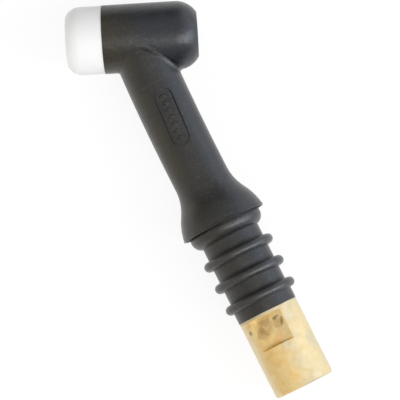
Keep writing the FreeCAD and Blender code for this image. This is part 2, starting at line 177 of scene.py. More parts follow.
def surface(name: str, grid: Array, ring_rows: bool = False, smooth: bool = True) -> Piece:
    """Makes one closed piece from a grid of points on its surface.

    The columns run round a section and the rows run along the path that carries it. Where the
    rows don't close, each end is filled with one flat face. The faces are turned outwards by
    the sign of the volume that they enclose.

    Args:
        name: The piece's name.
        grid: Points as rows x columns x 3, in metres.
        ring_rows: Whether the last row joins the first.
        smooth: Whether it is shaded smooth.

    Returns:
        The new object.
    """
    rows, columns, _ = grid.shape
    points = grid.reshape(-1, 3)
    faces = grid_faces(rows, columns, ring_rows)
    order = np.arange(columns)
    ends = [] if ring_rows else [order, order[::-1] + (rows - 1) * columns]
    turn = -1 if enclosed_volume(points - points.mean(axis=0), faces) < 0 else 1
    polygons = faces[:, ::turn].tolist() + [end[::turn].tolist() for end in ends]
    return mesh_piece(name, points, polygons, smooth)


def sweep(path: Array, side: Array, up: Array, section: Array, scale: Array) -> Array:
    """Carries a flat section along a path.

    Each point is path + scale * (section x * side + section y * up).

    Args:
        path: Points of the path, one to a row.
        side: The section's x direction at each of them.
        up: The section's y direction at each of them.
        section: The section's points, x and y to a row, in metres.
        scale: Size of the section at each point of the path.

    Returns:
        The grid of points.
    """
    across = section[None, :, 0, None] * side[:, None, :]
    above = section[None, :, 1, None] * up[:, None, :]
    return path[:, None, :] + scale[:, None, None] * (across + above)


def half_round(width: float, height: float, points: int = 7, sunk: float = 0.6) -> Array:
    """A half ellipse over a flat base that is sunk a little, anticlockwise.

    Args:
        width: Width of the base.
        height: Height over the surface.
        points: Points on the curve.
        sunk: How deep the base lies, as a share of the height.

    Returns:
        The section's points.
    """
    angle = np.linspace(0, math.pi, points)
    curve = np.column_stack([np.cos(angle) * width / 2, np.sin(angle) * height])
    foot = np.array([[-width / 2, -height * sunk], [width / 2, -height * sunk]])
    return np.vstack([curve, foot])


def dress(node: Piece, material: Material) -> None:
    """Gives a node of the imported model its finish.

    Args:
        node: The node's object.
        material: Its finish.
    """
    node.data.materials.clear()
    node.data.materials.append(material)
    log.info("%s: %s", node.name, material.name)


def finish_piece(piece: Piece, material: Material, body: Body) -> None:
    """Gives a new piece its material and its body.

    Args:
        piece: The piece.
        material: What it is made of.
        body: The body that it rides on.
    """
    piece.data.materials.append(material)
    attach(piece, body.value)
    log.info("%s: %d faces", piece.name, len(piece.data.polygons))


# ------------------------------------------------------------------- shading


class Nodes:
    """A node tree, and short ways to fill it. A number is given as a value or as a socket."""

    def __init__(self, tree: bpy.types.NodeTree) -> None:
        """Keeps the tree.

        Args:
            tree: The node tree.
        """
        self.tree = tree

    def put(self, kind: str, inputs: dict | None = None, **settings: object) -> bpy.types.Node:
        """Adds a node.

        Args:
            kind: Its type, without the words ShaderNode.
            inputs: Values or sockets for its inputs, by name or number.
            **settings: Its own settings, such as a group's tree. They come before the inputs.

        Returns:
            The node.
        """
        node = self.tree.nodes.new("ShaderNode" + kind)
        for name, value in settings.items():
            setattr(node, name, value)
        for name, value in (inputs or {}).items():
            if isinstance(value, Socket):
                self.tree.links.new(value, node.inputs[name])
            else:
                node.inputs[name].default_value = value
        return node

    def maths(self, operation: str, *values: object, clamp: bool = False) -> Socket:
        """Works out one number from up to three.

        Args:
            operation: What to do.
            *values: Numbers.
            clamp: Whether to keep the result between 0 and 1.

        Returns:
            The result.
        """
        inputs = dict(enumerate(values))
        return self.put("Math", inputs, operation=operation, use_clamp=clamp).outputs[0]

    def product(self, first: object, *others: object) -> Socket:
        """Multiplies numbers, such as masks that have to hold together.

        Args:
            first: A number.
            *others: The numbers that it is multiplied by, in turn.

        Returns:
            The product.
        """
        for other in others:
            first = self.maths("MULTIPLY", first, other)
        return first

    def rise(self, value: object, slope: float, start: object) -> Socket:
        """A straight rise, value * slope + start.

        Args:
            value: The number that it follows.
            slope: How fast it rises.
            start: What it is where that number is 0.

        Returns:
            The result.
        """
        return self.maths("MULTIPLY_ADD", value, slope, start)

    def step(self, value: object, low: object, high: object) -> Socket:
        """A soft step that goes from 0 at low to 1 at high.

        Args:
            value: The number that it follows.
            low: Where it starts.
            high: Where it ends, above low or below it.

        Returns:
            The step.
        """
        inputs = {"Value": value, "From Min": low, "From Max": high}
        return self.put("MapRange", inputs, interpolation_type="SMOOTHSTEP").outputs["Result"]

    def where(self, *limits: tuple[Socket, Span]) -> Socket:
        """A mask that is 1 where each value is past the end of its span.

        Args:
            *limits: A value, and the span over which it takes the mask from 0 to 1.

        Returns:
            The mask.
        """
        return self.product(*(self.step(value, *span) for value, span in limits))

    def between(self, share: object, first: object, second: object) -> Socket:
        """Mixes two numbers.

        Args:
            share: How much of the second.
            first: A number.
            second: A number.

        Returns:
            The mixed number.
        """
        return self.put("Mix", {0: share, 2: first, 3: second}).outputs[0]

    def blend(self, share: object, first: object, second: object) -> Socket:
        """Mixes two colours.

        Args:
            share: How much of the second.
            first: A colour or a socket.
            second: A colour or a socket.

        Returns:
            The mixed colour.
        """
        low, high = (value if isinstance(value, Socket) else (*value, 1.0) for value in (first, second))
        return self.put("Mix", {0: share, 6: low, 7: high}, data_type="RGBA").outputs[2]


class Effect:
    """A shared effect: a node group with named inputs and outputs, built once."""

    made: dict[str, bpy.types.NodeTree] = {}

    def __init__(self, name: str, inputs: dict[str, str], outputs: dict[str, str]) -> None:
        """Opens the group and its sockets.

        Args:
            name: The effect's name.
            inputs: Kind of each input, by name.
            outputs: Kind of each output, by name.
        """
        self.group = bpy.data.node_groups.new(name, "ShaderNodeTree")
        for way, sockets in (("INPUT", inputs), ("OUTPUT", outputs)):
            for title, kind in sockets.items():
                self.group.interface.new_socket(title, in_out=way, socket_type="NodeSocket" + kind)
        self.nodes = Nodes(self.group)
        self.inputs = self.group.nodes.new("NodeGroupInput").outputs
        self.outputs = self.group.nodes.new("NodeGroupOutput").inputs
        Effect.made[name] = self.group

    def out(self, name: str, socket: Socket) -> None:
        """Joins a result to an output.

        Args:
            name: The output.
            socket: The result.
        """
        self.group.links.new(socket, self.outputs[name])


def make_axis_places() -> None:
    """How far a point is along an axis and from it, for places in a frame with that axis as x."""
    effect = Effect("Axis places", {"Vector": "Vector"}, {"Along": "Float", "Radius": "Float"})
    split = effect.nodes.put("SeparateXYZ", {0: effect.inputs["Vector"]})
    flat = effect.nodes.put("CombineXYZ", {"Y": split.outputs["Y"], "Z": split.outputs["Z"]})
    length = effect.nodes.put("VectorMath", {0: flat.outputs[0]}, operation="LENGTH")
    effect.out("Along", split.outputs["X"])
    effect.out("Radius", length.outputs["Value"])


def make_clouds() -> None:
    """Soft patches: fractal noise of a given patch size, spread about its middle by a contrast."""
    effect = Effect(
        "Clouds", {"Vector": "Vector", "Size": "Float", "Contrast": "Float"}, {"Mask": "Float"}
    )
    nodes, given = effect.nodes, effect.inputs
    scale = nodes.maths("DIVIDE", 1.0, given["Size"])
    noise = nodes.put("TexNoise", {"Vector": given["Vector"], "Scale": scale, "Detail": 4.0})
    centred = nodes.maths("SUBTRACT", noise.outputs["Fac"], 0.5)
    effect.out("Mask", nodes.maths("MULTIPLY_ADD", centred, given["Contrast"], 0.5, clamp=True))


def make_specks() -> None:
    """Small round specks in a share of the cells of a cell pattern, such as dust and pinholes."""
    effect = Effect(
        "Specks",
        {"Vector": "Vector", "Cell": "Float", "Radius": "Float", "Share": "Float"},
        {"Mask": "Float"},
    )
    nodes, given = effect.nodes, effect.inputs
    scale = nodes.maths("DIVIDE", 1.0, given["Cell"])
    cells = nodes.put("TexVoronoi", {"Vector": given["Vector"], "Scale": scale}).outputs
    near = nodes.step(cells["Distance"], given["Radius"], 0.0)
    lot = nodes.put("SeparateColor", {0: cells["Color"]}).outputs["Red"]
    effect.out("Mask", nodes.product(near, nodes.maths("LESS_THAN", lot, given["Share"])))


def make_scratches() -> None:
    """Fine short scratches: thin ridges of a noise that is stretched along one direction."""
    bend_scale, bend, stretch = 90.0, 12 * MM, (1.0, 0.10, 0.10)
    effect = Effect(
        "Scratches", {"Vector": "Vector", "Size": "Float", "Share": "Float"}, {"Mask": "Float"}
    )
    nodes, given = effect.nodes, effect.inputs
    bent = nodes.put("TexNoise", {"Vector": given["Vector"], "Scale": bend_scale}).outputs["Color"]
    shift = nodes.put("VectorMath", {0: bent, 3: bend}, operation="SCALE").outputs[0]
    place = nodes.put("VectorMath", {0: given["Vector"], 1: shift}, operation="ADD").outputs[0]
    long_way = nodes.put("VectorMath", {0: place, 1: stretch}, operation="MULTIPLY").outputs[0]
    scale = nodes.maths("DIVIDE", 1.0, given["Size"])
    noise = nodes.put("TexNoise", {"Vector": long_way, "Scale": scale, "Detail": 3.0}).outputs["Fac"]
    ridge = nodes.maths("ABSOLUTE", nodes.maths("SUBTRACT", noise, 0.5))
    effect.out("Mask", nodes.step(ridge, given["Share"], 0.0))


def make_turning() -> None:
    """A lathe's marks: noise that changes only along the axis, with a slight waver round it."""
    waver_scale, waver, slow = 260.0, 0.06 * MM, 0.13
    effect = Effect(
        "Turning marks", {"Vector": "Vector", "Pitch": "Float"}, {"Height": "Float", "Shade": "Float"}
    )
    nodes, given = effect.nodes, effect.inputs
    along = nodes.put("SeparateXYZ", {0: given["Vector"]}).outputs["X"]
    noise = nodes.put("TexNoise", {"Vector": given["Vector"], "Scale": waver_scale}).outputs["Fac"]
    scaled = nodes.maths("DIVIDE", nodes.rise(noise, waver, along), given["Pitch"])
    fine, broad = (
        nodes.put("TexNoise", {"W": scaled, "Scale": scale, "Detail": 2.0}, noise_dimensions="1D")
        for scale in (1.0, slow)
    )
    effect.out("Height", fine.outputs["Fac"])
    effect.out("Shade", nodes.product(fine.outputs["Fac"], broad.outputs["Fac"]))


def make_band() -> None:
    """1 between two values and 0 outside them, with soft edges and a ragged border."""
    effect = Effect(
        "Band",
        {"Value": "Float", "From": "Float", "To": "Float", "Softness": "Float", "Ragged": "Float"},
        {"Mask": "Float"},
    )
    nodes, given = effect.nodes, effect.inputs
    value = nodes.maths("ADD", given["Value"], given["Ragged"])
    low = nodes.step(value, nodes.maths("SUBTRACT", given["From"], given["Softness"]), given["From"])
    high = nodes.step(value, nodes.maths("ADD", given["To"], given["Softness"]), given["To"])
    effect.out("Mask", nodes.product(low, high))


def make_spot() -> None:
    """One round stain or nick at a place, with a ragged border and a core of half its radius."""
    ragged_scale, core = 700.0, 0.5
    effect = Effect(
        "Spot",
        {"Vector": "Vector", "Centre": "Vector", "Radius": "Float", "Ragged": "Float"},
        {"Mask": "Float"},
    )
    nodes, given = effect.nodes, effect.inputs
    noise = nodes.put("TexNoise", {"Vector": given["Vector"], "Scale": ragged_scale, "Detail": 3.0})
    centred = nodes.maths("SUBTRACT", noise.outputs["Fac"], 0.5)
    away = nodes.put("VectorMath", {0: given["Vector"], 1: given["Centre"]}, operation="DISTANCE")
    reach = nodes.maths("MULTIPLY_ADD", centred, given["Ragged"], away.outputs["Value"])
    effect.out("Mask", nodes.step(reach, given["Radius"], nodes.product(given["Radius"], core)))


def make_effects() -> None:
    """Builds every shared effect once."""
    for make in (
        make_axis_places,
        make_clouds,
        make_specks,
        make_scratches,
        make_turning,
        make_band,
        make_spot,
    ):
        make()
    log.info("shared effects: %s", ", ".join(Effect.made))


class Surface(Nodes):
    """A new material's tree with its Principled BSDF, its place sockets and the shared effects."""

    def __init__(self, name: str, **constants: object) -> None:
        """Opens the material.

        Args:
            name: The material's name.
            **constants: Values that hold all over it, by socket name with _ for a space.
        """
        self.material = bpy.data.materials.new(name)
        self.material.use_nodes = True
        super().__init__(self.material.node_tree)
        self.shader = self.tree.nodes["Principled BSDF"]
        for title, value in constants.items():
            self.shader.inputs[title.replace("_", " ")].default_value = value
        self.place = self.put("TexCoord").outputs["Object"]

    def feed(self, title: str, socket: Socket) -> None:
        """Joins a result to an input of the shader.

        Args:
            title: The input.
            socket: The result.
        """
        self.tree.links.new(socket, self.shader.inputs[title])

    def on_axis(self, origin: Vector, direction: Vector) -> Socket:
        """Places in a frame whose x runs along an axis in the plane z = 0.

        Args:
            origin: A point on the axis.
            direction: Its direction.

        Returns:
            The places.
        """
        turn = math.atan2(direction.y, direction.x)
        inputs = {"Vector": self.place, "Location": origin, "Rotation": (0.0, 0.0, turn)}
        return self.put("Mapping", inputs, vector_type="TEXTURE").outputs[0]

    def group(self, name: str, **inputs: object) -> bpy.types.bpy_prop_collection:
        """Places a shared effect.

        Args:
            name: The effect.
            **inputs: Values or sockets for its inputs.

        Returns:
            Its outputs, by name.
        """
        return self.put("Group", inputs, node_tree=Effect.made[name]).outputs

    def effect(self, name: str, **inputs: object) -> Socket:
        """Places a shared effect that has one output.

        Args:
            name: The effect.
            **inputs: Values or sockets for its inputs.

        Returns:
            The output.
        """
        return self.group(name, **inputs)["Mask"]

    def clouds(self, size: float, contrast: float) -> Socket:
        """Soft patches on the object.

        Args:
            size: Their size.
            contrast: How strongly they stand out.

        Returns:
            The mask.
        """
        return self.effect("Clouds", Vector=self.place, Size=size, Contrast=contrast)

    def paint(self, base: Socket, *coats: tuple[Socket, Colour]) -> None:
        """Lays colours one over another and gives the shader the result.

        Args:
            base: The colour underneath.
            *coats: Mask and colour of each coat.
        """
        for mask, colour in coats:
            base = self.blend(mask, base, colour)
        self.feed("Base Color", base)

    def relief(self, *layers: tuple[Socket, float]) -> None:
        """Adds bumps one on another and joins them to the shader.

        Args:
            *layers: Height socket and depth in metres of each.
        """
        under = {}
        for height, depth in layers:
            bump = self.put("Bump", {"Height": height, "Distance": depth, "Strength": 1.0, **under})
            under = {"Normal": bump.outputs[0]}
        self.feed("Normal", under["Normal"])

    def roughness(self, mask: Socket, low: float, high: float) -> None:
        """Roughness between two values.

        Args:
            mask: What it follows, 0 to 1.
            low: Roughness where the mask is 0.
            high: Roughness where it is 1.
        """
        inputs = {"Value": mask, "To Min": low, "To Max": high}
        self.feed("Roughness", self.put("MapRange", inputs).outputs["Result"])


# ------------------------------------------------------------------ finishes


@dataclass(frozen=True)
class Axes:
    """The part's two axes: the neck's is x, and the head's crosses it."""

    crossing: Vector
    head: Vector

    @staticmethod
    def from_mounts(mounts: dict[str, dict]) -> "Axes":
        """Finds the head's axis from a mount that lies on it.

        Args:
            mounts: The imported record's mounts, by name.

        Returns:
            The axes.
        """
        place, way = (Vector(mounts["collet_thread"][key]) for key in ("pos_m", "axis"))
        return Axes(place - way * (place.y / way.y), way)


@dataclass(frozen=True)
class MouldSizes:
    """Sizes of the moulding that its finish and its fine pieces follow, as the solid has them."""

    head_radius: float = 12.7 * MM
    neck_radius: float = 10.4 * MM
    rim_radius: float = 16.1 * MM
    rim_place: float = -65.9 * MM
    last_ring: float = -36.2 * MM
    ring_pitch: float = 8.8 * MM
    stem_end_radius: float = 11.5 * MM
    stem_end: float = -30.2 * MM


@dataclass(frozen=True)
class SatinRubber:
    """Moulded black rubber: a dusty satin, with painted warm light towards -y and a painted cool
    reflection of the window towards +y.

    The rings are worn on their crests. The corners behind them and the crease on the head's cap
    side are darkened with painted shade, and the groove under the skirt's rim is lightened with
    painted light. A span says where a mask starts and where it is full, as a place along x, y or
    the head's axis or a distance from an axis.
    """

    sizes: MouldSizes
    dark: Colour = (0.0150, 0.0149, 0.0145)
    pale: Colour = (0.0350, 0.0347, 0.0336)
    # warm and cool are painted light: a warm light tint on the -y side and the cool window's painted
    # reflection on the +y side.
    warm: Colour = (0.0310, 0.0240, 0.0120)
    cool: Colour = (0.0165, 0.0195, 0.0275)
    worn: Colour = (0.060, 0.059, 0.058)
    lit: Colour = (0.075, 0.074, 0.072)
    dust: Colour = (0.30, 0.28, 0.25)
    # On the rubber this near-black colour paints shade into the rings' corners and the crease; it is not
    # dirt there.
    grime_and_painted_shade: Colour = (0.0020, 0.0019, 0.0017)
    warm_light_side: Span = (4 * MM, -9 * MM)
    cool_light_side: Span = (1 * MM, 8 * MM)
    neck: Span = (-60 * MM, -90 * MM)
    stem: Span = (-63 * MM, -61 * MM)
    dusty_stem: Span = (-90 * MM, -62 * MM)
    ring_crest: Span = (13.35 * MM, 15 * MM)
    ringed: Span = (-61 * MM, -60 * MM)
    corner_width: Span = (3.6 * MM, 1.8 * MM)
    corner_height: Span = (11.9 * MM, 11.3 * MM)
    groove_rim: Span = (-65.0 * MM, -65.8 * MM)
    groove_floor: Span = (-69.0 * MM, -68.0 * MM)
    groove_radius: Span = (14.5 * MM, 14.3 * MM)
    groove_side: Span = (-8 * MM, 6 * MM)
    crease_foot: Span = (12.71 * MM, 12.75 * MM)
    crease_top: Span = (13.65 * MM, 13.15 * MM)
    crease_side: Span = (-3 * MM, -6 * MM)
    cap_end: Span = (-6 * MM, -17 * MM)
    crown: Span = (-138 * MM, -146 * MM)
    parting: Span = (0.16 * MM, 0.02 * MM)

    def ring_shaded_corners(self, s: Surface, x: Socket, radius: Socket) -> Socket:
        """The corners on the head's side of the rings, darkened with painted shade, where they
        repeat from the last ring on.

        Args:
            s: The material.
            x: Place along the neck.
            radius: Distance from its axis.

        Returns:
            The mask.
        """
        last = self.sizes.last_ring
        repeated = s.maths("WRAP", x, last, last - self.sizes.ring_pitch)
        return s.where(
            (s.maths("SUBTRACT", last, repeated), self.corner_width),
            (x, self.ringed),
            (x, (last, last - 0.1 * MM)),
            (radius, self.corner_height),
        )

    def ring_crests(self, s: Surface, x: Socket, radius: Socket, fine: Socket) -> Socket:
        """The rings' crests, with a ragged border.

        Args:
            s: The material.
            x: Place along the neck.
            radius: Distance from its axis.
            fine: What makes the border ragged.

        Returns:
            The mask.
        """
        low, high = self.ring_crest
        ragged = s.product(s.maths("SUBTRACT", fine, 0.5), 0.5 * MM)
        band = s.effect("Band", Value=radius, From=low, To=high, Softness=0.5 * MM, Ragged=ragged)
        return s.product(band, s.step(x, *self.stem))

    def make(self, axes: Axes) -> Material:
        """Builds the material.

        Args:
            axes: The part's axes.

        Returns:
            The material.
        """
        s = Surface("satin_rubber", IOR=1.5, Sheen_Weight=0.06, Sheen_Roughness=0.35)
        clouds, fine, grain = s.clouds(9 * MM, 2.2), s.clouds(0.9 * MM, 2.6), s.clouds(0.22 * MM, 3.0)
        x, y, z = s.put("SeparateXYZ", {0: s.place}).outputs
        radius = s.group("Axis places", Vector=s.place)["Radius"]
        head = s.group("Axis places", Vector=s.on_axis(axes.crossing, axes.head))
        neck = s.rise(s.step(x, *self.neck), 0.4, 0.6)
        # Painted warm light on the -y side, patchy and strongest on the neck.
        warm = s.product(s.step(y, *self.warm_light_side), neck, s.rise(clouds, 0.7, 0.3))
        # Painted cool reflection of the window on the +y side.
        cool = s.product(s.step(y, *self.cool_light_side), s.rise(clouds, -0.5, 0.9))
        crests = self.ring_crests(s, x, radius, fine)
        # Painted shade in the corners on the head's side of the rings.
        corners = self.ring_shaded_corners(s, x, radius)
        grit = s.effect("Specks", Vector=s.place, Cell=0.95 * MM, Radius=0.24, Share=0.30)
        dusty = s.rise(s.step(x, *self.dusty_stem), 0.22, 0.16)
        # Painted light in the groove under the skirt's rim, where the bead lies in shade.
        groove = s.where(
            (x, self.groove_rim),
            (radius, self.groove_radius),
            (x, self.groove_floor),
            (y, self.groove_side),
        )
        # Painted shade along the crease where the neck meets the head, on the cap side.
        crease = s.where(
            (head["Radius"], self.crease_foot),
            (head["Radius"], self.crease_top),
            (head["Along"], self.crease_side),
        )
        specks = s.effect("Specks", Vector=s.place, Cell=2.6 * MM, Radius=0.10, Share=0.22)
        scuffs = s.effect("Scratches", Vector=s.place, Size=2.2 * MM, Share=0.006)
        s.paint(
            s.blend(s.product(clouds, fine), self.dark, self.pale),
            # Painted light: the warm tint on -y and the cool window reflection on +y.
            (warm, self.warm),
            (cool, self.cool),
            (s.product(crests, 0.35), self.worn),
            # Painted shade: the rings' corners, and below them the crease, are painted near-black.
            (corners, self.grime_and_painted_shade),
            (s.product(grit, dusty, s.maths("SUBTRACT", 1.0, corners)), self.dust),
            # Painted light: the groove under the rim is painted paler.
            (groove, self.lit),
            (s.product(crease, 0.65), self.grime_and_painted_shade),
            (s.maths("MAXIMUM", s.product(specks, 0.5), s.product(scuffs, 0.10)), self.dust),
        )
        # Metallic over the near-black painted shade takes the reflection out of the corners and the
        # crease: more painted shade.
        s.feed("Metallic", s.rise(crease, 0.45, s.product(corners, 0.25)))
        gloss = s.rise(s.rise(clouds, 0.6, s.product(grain, 0.4)), 0.68, 0.32)
        polish_and_painted_sheen = s.where((head["Along"], self.cap_end), (x, self.crown))
        s.roughness(s.rise(polish_and_painted_sheen, -0.45, gloss), 0.19, 0.38)
        parting = s.step(s.maths("ABSOLUTE", z), *self.parting)
        s.relief((clouds, 0.10 * MM), (fine, 0.025 * MM), (grain, 0.018 * MM), (parting, 0.06 * MM))
        return s.material


@dataclass(frozen=True)
class WhitePtfe:
    """Turned white PTFE, slightly waxy, with faint marks of handling near its tip."""

    white: Colour = (0.90, 0.90, 0.89)
    soiled: Colour = (0.70, 0.675, 0.62)
    waxy: Colour = (1.0, 1.0, 0.9)
    tip: Span = (20.5 * MM, 24.5 * MM)

    def make(self, axes: Axes) -> Material:
        """Builds the material.

        Args:
            axes: The part's axes.

        Returns:
            The material.
        """
        s = Surface(
            "white_ptfe",
            IOR=1.38,
            Subsurface_Weight=0.15,
            Subsurface_Radius=self.waxy,
            Subsurface_Scale=1 * MM,
        )
        place = s.on_axis(axes.crossing, axes.head)
        turned = s.group("Turning marks", Vector=place, Pitch=0.18 * MM)["Height"]
        clouds = s.clouds(4 * MM, 2.4)
        smears = s.effect("Scratches", Vector=place, Size=1.6 * MM, Share=0.010)
        tip = s.step(s.group("Axis places", Vector=place)["Along"], *self.tip)
        soil = s.rise(smears, 0.12, s.product(s.rise(tip, 0.35, 0.06), clouds))
        s.feed("Base Color", s.blend(soil, self.white, self.soiled))
        s.roughness(clouds, 0.38, 0.52)
        s.relief((turned, 0.012 * MM), (clouds, 0.02 * MM))
        return s.material


@dataclass(frozen=True)
class Stain:
    """One mark on the brass: its place and radius in millimetres, its strength and colour."""

    centre: Place
    radius: float
    weight: float
    colour: Colour = (0.20, 0.105, 0.035)


BROWN = (0.40, 0.225, 0.07)
SOCKET_STAINS = (
    Stain((-27.4, -3.0, 9.07), 3.0, 0.28, BROWN),
    Stain((-25.2, -3.7, 8.91), 3.6, 0.33, BROWN),
    Stain((-23.2, -5.4, 8.54), 2.8, 0.42, BROWN),
    Stain((-24.6, 1.3, 10.01), 2.4, 0.32, BROWN),
    Stain((-26.55, 0.5, 9.84), 0.75, 0.45),
    Stain((-26.7, 1.3, 10.01), 0.75, 0.62),
    Stain((-26.9, 2.1, 10.19), 0.65, 0.45),
    Stain((-25.7, 3.1, 10.41), 0.7, 0.42),
    Stain((-24.9, 2.95, 10.38), 0.75, 0.5),
    Stain((-24.0, 2.5, 10.28), 0.7, 0.38),
    Stain((-19.1, -0.6, 9.59), 2.6, 0.22, (0.85, 0.46, 0.18)),
    Stain((-25.4, -9.3, 6.5), 1.0, 0.5),
)


@dataclass(frozen=True)
class TurnedBrass:
    """Brass off the lathe: satin, tarnished in orange patches, with its stains.

    It is painted pale on +y for the window's reflection and at the -y edge for a sheen, and its
    orange tarnish, real in its patches, is weighted towards -y as painted shade. Its flats are
    darker and end in a painted gold glint along their step, and the ring beside the rubber is
    pale. A span says where a mask starts and where it is full.
    """

    name: str = "socket_brass"
    bright: Colour = (0.88, 0.755, 0.44)
    orange: Colour = (0.85, 0.64, 0.30)
    flat: Colour = (0.76, 0.60, 0.30)
    # pale serves the painted window reflection on +y and the pale ring beside the rubber.
    pale: Colour = (0.62, 0.575, 0.46)
    # edge is a painted sheen along the -y edge.
    edge: Colour = (0.90, 0.83, 0.68)
    # A painted gold glint along the flats' step.
    step_glint: Colour = (0.78, 0.56, 0.06)
    grime_and_painted_shade: Colour = (0.05, 0.035, 0.02)
    tarnish: float = 0.75
    stains: tuple[Stain, ...] = ()
    # The side weighting of the tarnish: painted shade, darker and warmer on -y.
    shaded_side: Span = (5 * MM, -5 * MM)
    # Painted reflection: the +y side is painted pale for the window and the -y edge for a sheen.
    painted_sheen_side: Span = (-5 * MM, 2 * MM)
    painted_sheen_edge_side: Span = (-8 * MM, -11.3 * MM)
    rubber_end: Span = (-29.1 * MM, -29.5 * MM)
    flat_skin: Span = (0.06 * MM, 0.03 * MM)
    flat_half_length: float = 5.9 * MM
    flat_softness: float = 0.02 * MM
    step_width: Span = (0.8 * MM, 0.4 * MM)

    def flats(self, s: Surface, side: bpy.types.bpy_prop_collection, mount: dict) -> tuple[Socket, Socket]:
        """The two opposite spanner flats, and the painted glint along their step at the mouth's end.

        A point lies on a flat where the size of its place times the flat's direction is the
        flat's distance from the axis.

        Args:
            s: The material.
            side: Place on the object, as x, y and z.
            mount: The mount of one flat.

        Returns:
            The flats' mask and the glint's mask.
        """
        place, way = Vector(mount["pos_m"]), Vector(mount["axis"])
        across = s.rise(side["Y"], way.y, s.product(side["Z"], way.z))
        off = s.maths("SUBTRACT", s.maths("ABSOLUTE", across), place.dot(way))
        first, last = place.x - self.flat_half_length, place.x + self.flat_half_length
        flats = s.where(
            (s.maths("ABSOLUTE", off), self.flat_skin),
            (side["X"], (first - self.flat_softness, first)),
            (side["X"], (last + self.flat_softness, last)),
        )
        # Painted glint along the flats' step at the mouth's end.
        glint_strip = s.step(side["X"], *(last - width for width in self.step_width))
        return flats, glint_strip

    def make(self, origin: Vector, way: Vector, flat: dict) -> Material:
        """Builds the material.

        Args:
            origin: A point on the axis that it was turned about.
            way: That axis's direction.
            flat: The mount of one spanner flat.

        Returns:
            The material.
        """
        s = Surface(self.name, Metallic=1.0)
        turned = s.on_axis(origin, way)
        marks = s.group("Turning marks", Vector=turned, Pitch=0.16 * MM)
        broad, patch, grain = s.clouds(7 * MM, 3.2), s.clouds(2.2 * MM, 3.4), s.clouds(0.35 * MM, 3.0)
        scratches = s.effect("Scratches", Vector=turned, Size=1.1 * MM, Share=0.012)
        pits = s.effect("Specks", Vector=s.place, Cell=1.3 * MM, Radius=0.16, Share=0.16)
        side = s.put("SeparateXYZ", {0: s.place}).outputs
        # Painted reflection of the window on the +y side.
        polish_and_painted_sheen = s.product(s.step(side["Y"], *self.painted_sheen_side), s.rise(broad, -0.2, 1.0))
        tarnish = s.maths("MULTIPLY", s.rise(patch, 0.5, broad), self.tarnish, clamp=True)
        # Painted shade: the orange tarnish is real in its patches, but it is weighted towards the -y side
        # to paint that side darker and warmer.
        shaded_side_weight = s.rise(s.step(side["Y"], *self.shaded_side), 0.65, 0.35)
        flats, glint_strip = self.flats(s, side, flat)
        flats = s.product(flats, s.rise(patch, 0.5, 0.4))
        beside_rubber = s.product(s.step(side["X"], *self.rubber_end), s.rise(patch, -0.5, 1.0))
        stains = []
        for stain in self.stains:
            sizes = {"Radius": stain.radius * MM, "Ragged": stain.radius * 0.8 * MM}
            spot = s.effect("Spot", Vector=s.place, Centre=Vector(stain.centre) * MM, **sizes)
            stains.append((s.product(spot, stain.weight), stain.colour))
        s.paint(
            # Painted reflection of the window, paler on +y.
            s.blend(polish_and_painted_sheen, self.bright, self.pale),
            # Tarnish patches, weighted towards -y as painted shade.
            (s.product(tarnish, shaded_side_weight), self.orange),
            # Painted sheen along the -y edge.
            (s.step(side["Y"], *self.painted_sheen_edge_side), self.edge),
            (flats, self.flat),
            # Painted glint along the flats' step.
            (s.product(flats, glint_strip), self.step_glint),
            (beside_rubber, self.pale),
            (s.product(grain, 0.22), self.orange),
            (s.product(marks["Shade"], 0.25), self.orange),
            *stains,
            (s.product(pits, 0.55), self.grime_and_painted_shade),
        )
        s.roughness(s.rise(patch, 0.6, s.product(grain, 0.4)), 0.70, 0.88)
        s.relief(
            (marks["Height"], 0.014 * MM),
            (scratches, -0.012 * MM),
            (patch, 0.03 * MM),
            (pits, -0.03 * MM),
        )
        return s.material


@dataclass(frozen=True)
class DrawnCopper:
    """Drawn copper tube, heat-tinted in patches."""

    bright: Colour = (0.78, 0.42, 0.27)
    tinted: Colour = (0.36, 0.16, 0.10)

    def make(self) -> Material:
        """Builds the material.

        Returns:
            The material.
        """
        s = Surface("drawn_copper", Metallic=1.0)
        drawn = s.effect("Scratches", Vector=s.place, Size=1.4 * MM, Share=0.03)
        clouds = s.clouds(5 * MM, 2.8)
        s.feed("Base Color", s.blend(clouds, self.bright, self.tinted))
        s.roughness(clouds, 0.25, 0.45)
        s.relief((drawn, 0.01 * MM), (clouds, 0.02 * MM))
        return s.material


@dataclass(frozen=True)
class SilverSolder:
    """Silver solder that ran round a joint and froze."""

    bright: Colour = (0.76, 0.72, 0.60)
    dull: Colour = (0.42, 0.36, 0.25)

    def make(self) -> Material:
        """Builds the material.

        Returns:
            The material.
        """
        s = Surface("silver_solder", Metallic=1.0)
        clouds, grain = s.clouds(1.6 * MM, 3.0), s.clouds(0.3 * MM, 3.0)
        s.feed("Base Color", s.blend(clouds, self.bright, self.dull))
        s.roughness(grain, 0.28, 0.50)
        s.relief((clouds, 0.06 * MM), (grain, 0.015 * MM))
        return s.material


# ------------------------------------------------------------------- pieces


